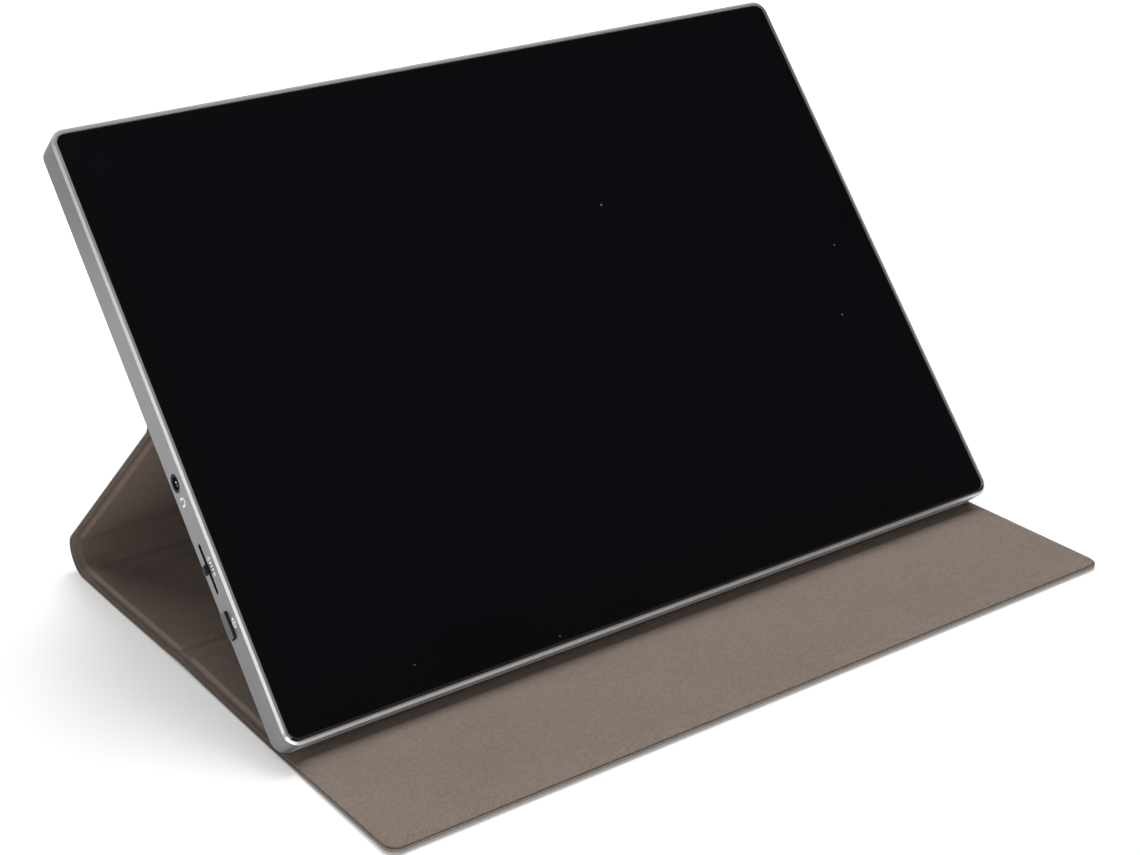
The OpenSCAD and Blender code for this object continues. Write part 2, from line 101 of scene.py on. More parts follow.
# ------------------------------------------------------------------ node helpers
class Mat:
    """A node material under construction. Numbers that are the same all over go straight on the shader's sockets."""

    def __init__(self, name, **bsdf):
        self.m = bpy.data.materials.new(name)
        self.m.use_nodes = True
        self.t = self.m.node_tree
        self.t.nodes.clear()
        self.out = self.t.nodes.new("ShaderNodeOutputMaterial")
        self.b = self.t.nodes.new("ShaderNodeBsdfPrincipled")
        self.t.links.new(self.b.outputs[0], self.out.inputs[0])
        for k, v in bsdf.items():
            self.b.inputs[k.replace("_", " ")].default_value = v

    def node(self, kind, **props):
        n = self.t.nodes.new(kind)
        for k, v in props.items():
            setattr(n, k, v)
        return n

    def link(self, a, b):
        self.t.links.new(a, b)

    def flat(self, scale=(1, 1, 1)):
        """The cover's own unfolded coordinates, in mm."""
        a = self.node("ShaderNodeAttribute", attribute_name="flat")
        mp = self.node("ShaderNodeMapping")
        mp.inputs["Scale"].default_value = scale
        self.link(a.outputs["Vector"], mp.inputs["Vector"])
        return mp.outputs[0]

    def place(self, scale=(1000, 1000, 1000), rot=(0, 0, 0), loc=(0, 0, 0)):
        """The piece's own coordinates in mm."""
        c = self.node("ShaderNodeTexCoord")
        mp = self.node("ShaderNodeMapping")
        mp.inputs["Scale"].default_value = scale
        mp.inputs["Rotation"].default_value = rot
        mp.inputs["Location"].default_value = loc
        self.link(c.outputs["Object"], mp.inputs["Vector"])
        return mp.outputs[0]

    def noise(self, vec, scale, detail=3.0, rough=0.55, dist=0.0):
        n = self.node("ShaderNodeTexNoise")
        n.inputs["Scale"].default_value = scale
        n.inputs["Detail"].default_value = detail
        n.inputs["Roughness"].default_value = rough
        n.inputs["Distortion"].default_value = dist
        self.link(vec, n.inputs["Vector"])
        return n.outputs["Fac"]

    def voronoi(self, vec, scale, feature="F1", out="Distance"):
        n = self.node("ShaderNodeTexVoronoi", feature=feature)
        n.inputs["Scale"].default_value = scale
        self.link(vec, n.inputs["Vector"])
        return n.outputs[out]

    def ramp(self, fac, stops):
        n = self.node("ShaderNodeValToRGB")
        e = n.color_ramp.elements
        while len(e) < len(stops):
            e.new(0.5)
        for el, (p, c) in zip(e, stops):
            el.position = p
            el.color = c if len(c) == 4 else (*c, 1)
        self.link(fac, n.inputs["Fac"])
        return n.outputs["Color"]

    def maprange(self, v, a, b, c=0.0, d=1.0, smooth=False):
        n = self.node("ShaderNodeMapRange", interpolation_type="SMOOTHSTEP" if smooth else "LINEAR")
        for k, x in zip(("From Min", "From Max", "To Min", "To Max"), (a, b, c, d)):
            n.inputs[k].default_value = x
        self.link(v, n.inputs["Value"])
        return n.outputs[0]

    def math(self, op, a, b=None, clamp=False):
        n = self.node("ShaderNodeMath", operation=op, use_clamp=clamp)
        for k, x in ((0, a), (1, b)):
            if x is None:
                continue
            if isinstance(x, (int, float)):
                n.inputs[k].default_value = x
            else:
                self.link(x, n.inputs[k])
        return n.outputs[0]

    def mix(self, fac, a, b, mode="MIX"):
        n = self.node("ShaderNodeMix", data_type="RGBA", blend_type=mode)
        if isinstance(fac, (int, float)):
            n.inputs[0].default_value = fac
        else:
            self.link(fac, n.inputs[0])
        for k, x in ((6, a), (7, b)):
            if isinstance(x, tuple):
                n.inputs[k].default_value = x if len(x) == 4 else (*x, 1)
            else:
                self.link(x, n.inputs[k])
        return n.outputs[2]

    def dot(self, vec, direction):
        n = self.node("ShaderNodeVectorMath", operation="DOT_PRODUCT")
        n.inputs[1].default_value = direction
        self.link(vec, n.inputs[0])
        return n.outputs["Value"]

    def bump(self, height, strength, distance, normal=None):
        n = self.node("ShaderNodeBump")
        n.inputs["Strength"].default_value = strength
        n.inputs["Distance"].default_value = distance
        self.link(height, n.inputs["Height"])
        if normal is not None:
            self.link(normal, n.inputs["Normal"])
        return n.outputs[0]

    def set(self, socket, src):
        self.link(src, self.b.inputs[socket])


def srgb(r, g, b):
    f = lambda c: c / 12.92 if c <= 0.04045 else ((c + 0.055) / 1.055) ** 2.4
    return tuple(f(c / 255) for c in (r, g, b))


# ------------------------------------------------------------------ materials
def lining_material():
    """Brushed microfibre: short mottled pile, a little paler where it is rubbed."""
    m = Mat("microfibre", Roughness=0.92, Sheen_Weight=0.12, Sheen_Roughness=0.6, Specular_IOR_Level=0.08)
    m.b.inputs["Sheen Tint"].default_value = (0.9, 0.84, 0.76, 1)
    v = m.flat()
    broad = m.noise(v, 0.035, 3, 0.6)
    nap = m.noise(m.flat((1, 1.3, 1)), 0.42, 3, 0.6, 0.4)
    mottle = m.noise(v, 1.25, 3, 0.72, 0.3)
    fine = m.noise(v, 3.2, 3, 0.7)
    pile = m.noise(m.flat((1.0, 2.4, 1.0)), 6.5, 2, 0.6)
    base = m.ramp(broad, [(0.3, (0.205, 0.162, 0.136)), (0.7, (0.236, 0.188, 0.158))])
    c = m.mix(m.maprange(nap, 0.3, 0.7, 0.0, 0.55), base, (0.268, 0.215, 0.182))
    c = m.mix(m.maprange(fine, 0.38, 0.66, 0.0, 0.5), c, (0.158, 0.124, 0.104))
    c = m.mix(m.maprange(pile, 0.6, 0.78, 0.0, 0.35), c, (0.33, 0.27, 0.232))
    c = m.mix(1.0, c, m.ramp(mottle, [(0.32, (0.84, 0.84, 0.84)), (0.5, (1.0, 1.0, 1.0)), (0.68, (1.17, 1.16, 1.15))]), "MULTIPLY")
    run = m.node("ShaderNodeSeparateXYZ")
    m.link(v, run.inputs[0])
    # painted shadow: a darker band on the lining beside the groove where the monitor stands
    painted_shadow_by_monitor = m.math("MULTIPLY", m.maprange(run.outputs["Y"], 35, 43, 0.0, 1.0, True), m.maprange(run.outputs["Y"], 50, 56, 1.0, 0.0, True))
    c = m.mix(painted_shadow_by_monitor, c, (0.9, 0.9, 0.9), "MULTIPLY")
    # painted tone, matched to the photograph's light: everything behind the front flap
    c = m.mix(m.maprange(run.outputs["Y"], 44, 58, 0.0, 1.0, True), c, (0.79, 0.78, 0.78), "MULTIPLY")
    # painted shade: the lining from the strut onwards is darker
    slope = m.maprange(run.outputs["Y"], 184.4, 186.4)
    c = m.mix(slope, c, (0.68, 0.61, 0.58), "MULTIPLY")
    # painted shade: the lining round the spine's bend is a little darker
    painted_shade_spine = m.math("MULTIPLY", m.maprange(run.outputs["Y"], 172.5, 175.0, 0.0, 1.0, True), m.maprange(run.outputs["Y"], 183.0, 185.0, 1.0, 0.0, True))
    c = m.mix(painted_shade_spine, c, (0.88, 0.88, 0.88), "MULTIPLY")
    # painted tone, matched to the photograph's light: paler deep under the monitor and along the floor's two creases
    side = m.math("ABSOLUTE", run.outputs["X"])
    deep = m.math("MULTIPLY", m.maprange(side, COVER_W / 2 - 4.0, COVER_W / 2 - 26.0, 0.0, 1.0, True), m.maprange(run.outputs["Y"], 112.0, 124.0, 0.0, 1.0, True))
    deep = m.math("MULTIPLY", deep, m.maprange(run.outputs["Y"], 174.0, 180.0, 1.0, 0.0, True))
    c = m.mix(deep, c, (1.26, 1.27, 1.28), "MULTIPLY")
    # painted light: paler bands along the floor's two creases, where shade falls
    painted_light_crease = m.math("MULTIPLY", m.maprange(run.outputs["Y"], 160.0, 169.0, 0.0, 1.0, True), m.maprange(run.outputs["Y"], 171.0, 177.0, 1.0, 0.0, True))
    c = m.mix(painted_light_crease, c, (1.24, 1.24, 1.24), "MULTIPLY")
    painted_light_crease = m.math("MULTIPLY", m.maprange(run.outputs["Y"], 105.4, 108.0, 0.0, 1.0, True), m.maprange(run.outputs["Y"], 111.0, 114.0, 1.0, 0.0, True))
    c = m.mix(painted_light_crease, c, (1.2, 1.2, 1.2), "MULTIPLY")
    # painted tone, matched to the photograph's light: a paler line where the lining steps down from the boards, a darker margin
    inner = m.maprange(run.outputs["Y"], 50.0, 54.0)
    spine = m.math("MULTIPLY", m.maprange(run.outputs["Y"], 166.0, 169.0), m.maprange(run.outputs["Y"], 185.5, 188.0, 1.0, 0.0))
    inner = m.math("MULTIPLY", inner, m.math("SUBTRACT", 1.0, spine))
    board = m.math("MULTIPLY", m.maprange(side, COVER_W / 2 - 3.3, COVER_W / 2 - 2.7), m.maprange(side, COVER_W / 2 - 2.3, COVER_W / 2 - 1.8, 1.0, 0.0))
    c = m.mix(m.math("MULTIPLY", board, inner), c, (1.2, 1.19, 1.2), "MULTIPLY")
    margin = m.math("MULTIPLY", m.maprange(side, COVER_W / 2 - 2.3, COVER_W / 2 - 1.8), m.maprange(side, COVER_W / 2 - 1.1, COVER_W / 2 - 0.6, 1.0, 0.4))
    c = m.mix(m.math("MULTIPLY", margin, inner), c, (0.78, 0.76, 0.76), "MULTIPLY")
    m.set("Base Color", c)
    h = m.math("ADD", m.math("MULTIPLY", fine, 0.6), m.math("MULTIPLY", pile, 0.5))
    h = m.math("ADD", h, m.math("MULTIPLY", nap, 0.8))
    m.set("Normal", m.bump(h, 0.55, 0.00012))
    return m.m


def skin_material():
    """Synthetic leather: fine pebble grain with a soft sheen."""
    m = Mat("cover_leather", Roughness=0.5, Specular_IOR_Level=0.35)
    v = m.flat()
    cells = m.voronoi(v, 1.35, "DISTANCE_TO_EDGE")
    cells2 = m.voronoi(m.flat((1.1, 0.9, 1)), 2.9, "DISTANCE_TO_EDGE")
    broad = m.noise(v, 0.03, 3, 0.6)
    fine = m.noise(v, 4.0, 3, 0.6)
    base = m.ramp(broad, [(0.3, (0.150, 0.124, 0.101)), (0.7, (0.176, 0.147, 0.121))])
    crack = m.maprange(cells, 0.0, 0.09, 1.0, 0.0)
    c = m.mix(m.math("MULTIPLY", crack, 0.35), base, (0.085, 0.068, 0.055))
    c = m.mix(m.maprange(fine, 0.55, 0.8, 0.0, 0.25), c, (0.23, 0.2, 0.168))
    m.set("Base Color", c)
    m.set("Roughness", m.maprange(fine, 0.3, 0.7, 0.42, 0.6))
    h = m.math("ADD", m.maprange(cells, 0.0, 0.16, 0.0, 1.0), m.maprange(cells2, 0.0, 0.2, 0.0, 0.45))
    h = m.math("ADD", h, m.math("MULTIPLY", fine, 0.3))
    m.set("Normal", m.bump(h, 0.5, 0.00009))
    return m.m


def edge_material():
    """The cut edge of the cover: compacted fibres under a thin coat of paint, rubbed through in short dashes."""
    m = Mat("cut_edge", Roughness=0.72, Specular_IOR_Level=0.3)
    v = m.flat()
    dash = m.noise(m.flat((0.9, 0.9, 6)), 1.1, 4, 0.7)
    fine = m.noise(v, 5.0, 2, 0.6)
    c = m.ramp(dash, [(0.34, (0.16, 0.131, 0.112)), (0.52, (0.24, 0.2, 0.172)), (0.68, (0.34, 0.295, 0.26))])
    c = m.mix(m.maprange(fine, 0.45, 0.7, 0.0, 0.4), c, (0.08, 0.066, 0.055))
    run = m.node("ShaderNodeSeparateXYZ")
    m.link(v, run.inputs[0])
    # painted shade: the cut edge is darker everywhere behind the front flap
    c = m.mix(m.maprange(run.outputs["Y"], 42.0, 58.0, 0.0, 1.0, True), c, (0.62, 0.59, 0.58), "MULTIPLY")
    m.set("Base Color", c)
    m.set("Normal", m.bump(m.math("ADD", dash, fine), 0.5, 0.0001))
    return m.m


N_FRONT = (0.0, -ST, CT)
H_BACK = mon(0, 0, 0).dot(Vector(N_FRONT))
S_BACK = mon(0, 0, 0).dot(Vector((0, CT, ST)))


def front_height(m):
    """Height above the monitor's back, in mm, from the piece's own coordinates."""
    c = m.node("ShaderNodeTexCoord")
    d = m.dot(c.outputs["Object"], N_FRONT)
    return m.math("MULTIPLY", m.math("SUBTRACT", d, H_BACK), 1000.0)


def shell_material():
    """Bead-blasted anodised aluminium, with the chamfer round the screen cut bright afterwards; painted light and shade
    are mixed into its colour.
    """
    m = Mat("anodised_shell", Metallic=0.5, Roughness=0.4)
    v = m.place()
    grain = m.noise(v, 5.5, 3, 0.7)
    grain2 = m.noise(v, 14.0, 2, 0.6)
    broad = m.noise(v, 0.05, 3, 0.55)
    rub = m.noise(m.place((300, 1000, 1000)), 0.9, 4, 0.65)
    h = front_height(m)
    bright = m.maprange(h, MON_T - BEVEL_D - 0.02, MON_T - BEVEL_D + 0.01)
    lip = m.maprange(h, MON_T - 0.03, MON_T - 0.01)
    cut = m.math("SUBTRACT", bright, lip, clamp=True)
    blast = m.ramp(broad, [(0.3, (0.226, 0.221, 0.228)), (0.7, (0.25, 0.244, 0.25))])
    blast = m.mix(m.maprange(grain, 0.35, 0.7, 0.0, 0.35), blast, (0.38, 0.373, 0.38))
    blast = m.mix(m.maprange(rub, 0.62, 0.8, 0.0, 0.18), blast, (0.52, 0.515, 0.52))
    co = m.node("ShaderNodeTexCoord")
    ss0 = m.math("MULTIPLY", m.math("SUBTRACT", m.dot(co.outputs["Object"], (0, CT, ST)), S_BACK), 1000.0)
    # painted light and shade, matched to the photograph's light: the bottom wall's colour is set by height, pale
    # towards the back where it sits in shade close over the flap, darker towards the front
    painted_light_bottom_wall = m.maprange(ss0, 0.02, 0.12, 1.0, 0.0)
    blast = m.mix(painted_light_bottom_wall, blast, m.ramp(m.maprange(h, 0.0, 10.0), [(0.3, (0.95, 0.95, 0.99)), (0.66, (0.62, 0.62, 0.64)), (0.95, (0.34, 0.34, 0.35))]))
    sx = m.math("MULTIPLY", m.dot(co.outputs["Object"], (1, 0, 0)), 1000.0)
    # painted tone, matched to the photograph's light: the upper end of the side walls goes down to about half
    side = m.math("MULTIPLY", m.maprange(m.math("ABSOLUTE", sx), 117.5, 118.6), m.maprange(ss0, 108, 160, 0.0, 1.0, True))
    blast = m.mix(side, blast, (0.54, 0.535, 0.54), "MULTIPLY")
    # painted tone, matched to the photograph's light: the cut chamfer is brightest at the lower left
    painted_highlight_lower_left = m.mix(m.maprange(sx, -90, 70), (0.96, 0.96, 0.97), (0.64, 0.64, 0.645))
    cut_colour_and_painted_highlight = m.mix(m.maprange(ss0, 0.8, 3.0), painted_highlight_lower_left, (0.66, 0.66, 0.665))
    c = m.mix(cut, blast, cut_colour_and_painted_highlight)
    # painted shadow: a strip of the lower lip's front face beside the glass is painted black, standing for shade
    # between lip and glass
    painted_lip_shadow = m.math("MULTIPLY", m.maprange(ss0, 0.98, 1.12), m.maprange(ss0, 2.2, 2.4, 1.0, 0.0))
    painted_lip_shadow = m.math("MULTIPLY", painted_lip_shadow, m.maprange(h, MON_T - 0.06, MON_T - 0.03))
    c = m.mix(painted_lip_shadow, c, (0.012, 0.012, 0.013))
    # painted shade: the inner walls of the openings on the left wall are painted black
    inner = m.math("MULTIPLY", m.math("GREATER_THAN", sx, MON_X - HW + 0.015), m.math("LESS_THAN", sx, MON_X - HW + 1.75))
    ss = m.math("MULTIPLY", m.math("SUBTRACT", m.dot(co.outputs["Object"], (0, CT, ST)), S_BACK), 1000.0)
    inner = m.math("MULTIPLY", inner, m.maprange(ss, 26, 27, 0.0, 1.0))
    inner = m.math("MULTIPLY", inner, m.maprange(ss, 79, 80, 1.0, 0.0))
    inner = m.math("MULTIPLY", inner, m.maprange(h, 0.9, 1.2, 0.0, 1.0))
    inner = m.math("MULTIPLY", inner, m.maprange(h, 7.2, 7.5, 1.0, 0.0))
    c = m.mix(inner, c, (0.012, 0.012, 0.013))
    m.set("Base Color", c)
    rough = m.maprange(grain, 0.3, 0.7, 0.42, 0.54)
    lines = m.noise(m.place((1000, 1000, 1000)), 9.0, 2, 0.5)
    r2 = m.maprange(lines, 0.3, 0.7, 0.2, 0.28)
    mixr = m.node("ShaderNodeMix", data_type="FLOAT")
    m.link(cut, mixr.inputs[0]); m.link(rough, mixr.inputs[2]); m.link(r2, mixr.inputs[3])
    m.set("Roughness", mixr.outputs[0])
    hgt = m.math("MULTIPLY", m.math("ADD", grain, m.math("MULTIPLY", grain2, 0.6)), m.math("SUBTRACT", 1.0, m.math("MULTIPLY", cut, 0.85)))
    m.set("Normal", m.bump(hgt, 0.35, 0.00003))
    return m.m


def glass_material():
    """Cover glass with an anti-glare coat over a black panel: the lit area shows faintly bluer than its black frame."""
    m = Mat("screen_glass", Roughness=0.04, Specular_IOR_Level=0.5)
    c = m.node("ShaderNodeTexCoord")
    x = m.dot(c.outputs["Object"], (1, 0, 0))
    s = m.dot(c.outputs["Object"], (0, CT, ST))
    s0 = mon(0, 0, 0).dot(Vector((0, CT, ST)))
    xm = m.math("ABSOLUTE", m.math("SUBTRACT", m.math("MULTIPLY", x, 1000.0), MON_X - 0.3))
    sm = m.math("ABSOLUTE", m.math("SUBTRACT", m.math("MULTIPLY", m.math("SUBTRACT", s, s0), 1000.0), 88.8))
    inside = m.math("MULTIPLY", m.maprange(xm, 110.9, 111.1, 1.0, 0.0), m.maprange(sm, 73.9, 74.1, 1.0, 0.0))
    v = m.place()
    haze = m.noise(v, 0.012, 3, 0.55)
    smear = m.noise(m.place((1000, 500, 500)), 0.06, 4, 0.6, 0.6)
    dust = m.voronoi(v, 0.055)
    speck = m.maprange(dust, 0.010, 0.020, 1.0, 0.0)
    base = m.mix(inside, (0.0026, 0.0027, 0.0034), (0.0025, 0.0029, 0.0044))
    base = m.mix(m.maprange(haze, 0.35, 0.75, 0.0, 1.0), base, (0.0034, 0.0036, 0.0049))
    base = m.mix(m.math("MULTIPLY", speck, 0.6), base, (0.28, 0.28, 0.28))
    m.set("Base Color", base)
    m.set("Roughness", m.maprange(smear, 0.35, 0.7, 0.03, 0.055))
    return m.m


def plastic_material(name, col, col2, rough=(0.35, 0.5), scale=3.0, bump=0.25, spec=0.5, coords="place"):
    m = Mat(name, Specular_IOR_Level=spec)
    v = m.place()
    g = m.noise(v, scale, 3, 0.6)
    b = m.noise(v, scale * 0.08, 2, 0.5)
    c = m.mix(m.maprange(b, 0.35, 0.7), (*col,), (*col2,))
    c = m.mix(m.maprange(g, 0.45, 0.8, 0.0, 0.4), c, tuple(min(1, x * 1.5 + 0.003) for x in col2))
    m.set("Base Color", c)
    m.set("Roughness", m.maprange(g, 0.3, 0.7, *rough))
    m.set("Normal", m.bump(g, bump, 0.00003))
    return m.m


def metal_material(name, col, col2, rough=(0.22, 0.4), scale=2.0, stretch=(1, 1, 1), bump=0.2):
    m = Mat(name, Metallic=1.0)
    v = m.place(tuple(1000 * s for s in stretch))
    g = m.noise(v, scale, 4, 0.65)
    c = m.mix(m.maprange(g, 0.35, 0.7), (*col,), (*col2,))
    m.set("Base Color", c)
    m.set("Roughness", m.maprange(g, 0.3, 0.7, *rough))
    m.set("Normal", m.bump(g, bump, 0.00002))
    return m.m


def board_material():
    """Circuit board: green mask, paler traces along a grid, dark pads."""
    m = Mat("circuit_board", Roughness=0.35, Specular_IOR_Level=0.5)
    v = m.place()
    n = m.node("ShaderNodeTexBrick")
    n.inputs["Scale"].default_value = 0.35
    n.inputs["Mortar Size"].default_value = 0.05
    m.link(v, n.inputs["Vector"])
    g = m.noise(v, 0.8, 3, 0.6)
    c = m.mix(n.outputs["Fac"], (0.012, 0.075, 0.035), (0.03, 0.16, 0.07))
    c = m.mix(m.maprange(g, 0.5, 0.75, 0, 0.5), c, (0.01, 0.05, 0.03))
    m.set("Base Color", c)
    m.set("Normal", m.bump(n.outputs["Fac"], 0.3, 0.00004))
    return m.m


def button_material():
    """Moulded key: black sides, its end face a lighter grey."""
    m = Mat("button_grey", Specular_IOR_Level=0.35)
    v = m.place()
    g = m.noise(v, 5.0, 3, 0.6)
    x = m.math("MULTIPLY", m.dot(m.node("ShaderNodeTexCoord").outputs["Object"], (1, 0, 0)), 1000.0)
    end = m.maprange(x, MON_X - HW - 0.71, MON_X - HW - 0.66, 1.0, 0.0)
    c = m.mix(end, (0.012, 0.012, 0.013), (0.078, 0.077, 0.081))
    c = m.mix(m.maprange(g, 0.45, 0.8, 0.0, 0.25), c, (0.09, 0.089, 0.093))
    m.set("Base Color", c)
    m.set("Roughness", m.maprange(g, 0.3, 0.7, 0.32, 0.45))
    m.set("Normal", m.bump(g, 0.15, 0.00003))
    return m.m


LINING = lining_material()
SKIN = skin_material()
EDGE = edge_material()
SHELL = shell_material()
GLASS = glass_material()
BLACK = plastic_material("black_moulding", (0.012, 0.012, 0.013), (0.018, 0.018, 0.019), (0.45, 0.6), 4.0, 0.3)
KEY = plastic_material("key_black", (0.010, 0.010, 0.011), (0.014, 0.014, 0.015), (0.42, 0.55), 5.0, 0.15, 0.25)
BUTTON = button_material()
RING = plastic_material("socket_black", (0.008, 0.008, 0.009), (0.013, 0.013, 0.014), (0.5, 0.62), 6.0, 0.2, 0.15)
TAPE = plastic_material("foam_tape", (0.010, 0.010, 0.010), (0.015, 0.015, 0.015), (0.8, 0.95), 5.0, 0.5, 0.2)
INK_AND_PAINTED_GLOW = plastic_material("printed_sign_and_painted_glow", (0.78, 0.79, 0.79), (0.86, 0.86, 0.86), (0.5, 0.7), 6.0, 0.2, 0.3)
# painted light: the printed signs glow faintly, standing for the light they catch
INK_AND_PAINTED_GLOW.node_tree.nodes["Principled BSDF"].inputs["Emission Color"].default_value = (1, 1, 1, 1)
INK_AND_PAINTED_GLOW.node_tree.nodes["Principled BSDF"].inputs["Emission Strength"].default_value = 0.22
TIN = metal_material("tinned_sheet", (0.55, 0.55, 0.56), (0.68, 0.68, 0.69), (0.2, 0.34), 1.5)
GOLD = metal_material("contact_spring", (0.80, 0.78, 0.72), (0.9, 0.88, 0.84), (0.15, 0.25), 3.0)
STEEL = metal_material("blackened_screw", (0.12, 0.12, 0.125), (0.2, 0.2, 0.2), (0.3, 0.45), 3.0)
NICKEL = metal_material("nickel_magnet", (0.55, 0.54, 0.52), (0.66, 0.65, 0.62), (0.2, 0.3), 1.0)
FIBRE = plastic_material("fibre_board", (0.42, 0.35, 0.26), (0.5, 0.42, 0.31), (0.85, 0.95), 1.2, 0.6, 0.2)
PCB = board_material()
AMBER = plastic_material("amber_film", (0.42, 0.2, 0.04), (0.5, 0.26, 0.06), (0.25, 0.35), 0.6, 0.1)
WHITE = plastic_material("white_cable", (0.72, 0.72, 0.7), (0.8, 0.8, 0.78), (0.4, 0.55), 0.8, 0.2)
CLEAR = plastic_material("acrylic_guide", (0.62, 0.66, 0.68), (0.7, 0.74, 0.76), (0.1, 0.2), 0.5, 0.1)
PANEL = plastic_material("display_cell", (0.006, 0.006, 0.008), (0.009, 0.009, 0.011), (0.15, 0.25), 0.5, 0.1)

CAD_LOOK = {
    "rear_shell": SHELL, "front_glass": GLASS, "glass_tape": TAPE, "lcd_cell": PANEL, "light_guide": CLEAR,
    "led_strip": WHITE, "backlight_tray": TIN, "panel_driver_board": PCB, "panel_flex": AMBER, "main_board": PCB,
    "board_insulator": TAPE, "main_board_parts": BLACK, "shield_can": TIN, "board_cable": WHITE, "key_board": PCB,
    "board_screws": STEEL, "headphone_jack": RING, "menu_switch": BLACK, "power_switch": BLACK, "usb_c_sockets": TIN,
    "hdmi_socket": TIN, "speakers": BLACK, "shell_magnets": NICKEL, "menu_slider": BLACK, "menu_knob": KEY,
    "power_button": BUTTON,
}
for name, ob in NODES.items():
    look = CAD_LOOK.get(name)
    if look is None:
        look = LINING if name.endswith("_lining") else SKIN if name.endswith("_skin") else NICKEL if name.endswith("_magnets") else FIBRE
    ob.data.materials.clear()
    ob.data.materials.append(look)


def soften_edges(ob, width, angle=25, segments=2):
    """Merges the flat faces of a CAD node and rounds its sharp edges a little, so that they catch light."""
    d = ob.modifiers.new("flats", "DECIMATE")
    d.decimate_type = "DISSOLVE"
    d.angle_limit = math.radians(0.6)
    b = ob.modifiers.new("edge", "BEVEL")
    b.width = width * MM
    b.segments = segments
    b.limit_method = "ANGLE"
    b.angle_limit = math.radians(angle)
    b.harden_normals = True
    b.miter_outer = "MITER_ARC"


# ------------------------------------------------------------------ the cover's section
def cover_path():
    """Middle line of the cover's cloth, from the front flap's free edge to the top of the back panel: [(kind, length, radius)]."""
    d = np.array([-math.cos(LEAN), math.sin(LEAN)])
    m_out = np.array([ST, -CT])
    um = np.array([CT, ST])
    back = np.array([Y_EDGE - Y0, Z_EDGE])
    C = np.array([Y_C - Y0, Z_C])
    t = (1.75 - (C - back) @ m_out) / (d @ m_out)
    K = C + t * d
    sK = (K - back) @ um
    th1 = math.radians(80.0)
    full = math.pi - LEAN
    P1 = np.array([FLAP + MID + REAR + 7.05 * math.sin(th1), SPINE_R - 7.05 * math.cos(th1)])
    n = np.array([math.sin(full), -math.cos(full)])
    r2 = -((P1 - C) @ n) / (1 - math.cos(full - th1))
    c2 = P1 + r2 * np.array([-math.sin(th1), math.cos(th1)])
    E2 = c2 + r2 * n
    turn = full - TILT
    R = 5.05
    tangent = R * math.tan(turn / 2)
    straight = (K - E2) @ d - tangent
    top = 168.4 - (sK + tangent)
    return [("l", FLAP + MID + REAR, 0), ("a", 7.05 * th1, 7.05), ("a", r2 * (full - th1), r2), ("l", straight, 0),
            ("a", R * turn, -R), ("l", top, 0)]


SEGS = cover_path()
STARTS = np.cumsum([0] + [s[1] for s in SEGS])
V_A = FLAP + MID + REAR
V_C = STARTS[2] + SEGS[2][2] * math.radians(119.7 - 80.0)
V_FOLD0, V_FOLD1, V_END = STARTS[4], STARTS[5], STARTS[6]
V_STRUT0 = STARTS[3]


def path_at(v):
    """Position (y, z) in mm and heading of the middle line at the lengths v."""
    v = np.atleast_1d(np.asarray(v, float))
    p = np.zeros((len(v), 2))
    head = np.zeros(len(v))
    at, h = np.array([0.0, 0.55]), 0.0
    for i, (kind, length, r) in enumerate(SEGS):
        lo = STARTS[i]
        m = (v >= lo - 1e-9) & (v <= lo + length + 1e-9)
        w = v[m] - lo
        if kind == "l":
            p[m] = at + w[:, None] * np.array([math.cos(h), math.sin(h)])
            head[m] = h
            at = at + length * np.array([math.cos(h), math.sin(h)])
        else:
            c = at + r * np.array([-math.sin(h), math.cos(h)])
            a = h + w / r
            p[m] = c + r * np.stack([np.sin(a), -np.cos(a)], 1)
            head[m] = a
            h2 = h + length / r
            at = c + r * np.array([math.sin(h2), -math.cos(h2)])
            h = h2
    return p, head


LIFT_Y = [0, 8, 14, 27, 40, 47, 54, 64, 74, 88, 96, 103, 107, 111, 120, 128, 137, 146, 155]
LIFT_Z = [0.6, 0.48, 0.4, 0.25, 0.13, 0.05, 0.0, 0.1, 0.25, 0.5, 0.62, 0.86, 0.95, 0.86, 0.55, 0.43, 0.26, 0.05, 0.0]


def lift(v):
    """The floor panels don't lie dead flat: the front edge and the middle fold stand up a little."""
    y = np.interp(v, LIFT_Y, LIFT_Z, right=0.0)
    # smoothed
    out = np.zeros_like(y)
    for o, w in ((-3, 1), (-1.5, 2), (0, 3), (1.5, 2), (3, 1)):
        out += w * np.interp(np.clip(v + o, 0, 155), LIFT_Y, LIFT_Z, right=0.0)
    return out / 9.0 * (v < 160)


HALF = COVER_W / 2
MARGIN = 2.6
# stiffening boards under the lining: (first, last) length along the path
BOARDS = [(3.8, 45.6), (55.5, 106.6), (113.0, 168.4), (V_C + 1.2, V_FOLD0 - 1.6), (V_FOLD1 + 1.0, V_END - MARGIN)]
CORNER = 3.8


def board_inside(u, v):
    """Signed distance inside the nearest board's rounded outline."""
    best = np.full(np.broadcast(u, v).shape, -99.0)
    for a, b in BOARDS:
        cx, cv = HALF - MARGIN, (b - a) / 2
        qx = np.abs(u) - (cx - 1.8)
        qv = np.abs(v - (a + b) / 2) - (cv - 1.8)
        outside = np.hypot(np.maximum(qx, 0), np.maximum(qv, 0)) + np.minimum(np.maximum(qx, qv), 0) - 1.8
        best = np.maximum(best, -outside)
    return best


def smooth01(t):
    t = np.clip(t, 0, 1)
    return t * t * (3 - 2 * t)


WAVES = [(0.031, 0.017, 1.3, 0.030), (0.058, 0.043, 4.1, 0.022), (0.094, 0.021, 2.2, 0.014), (0.013, 0.088, 5.6, 0.018), (0.141, 0.127, 0.4, 0.008)]


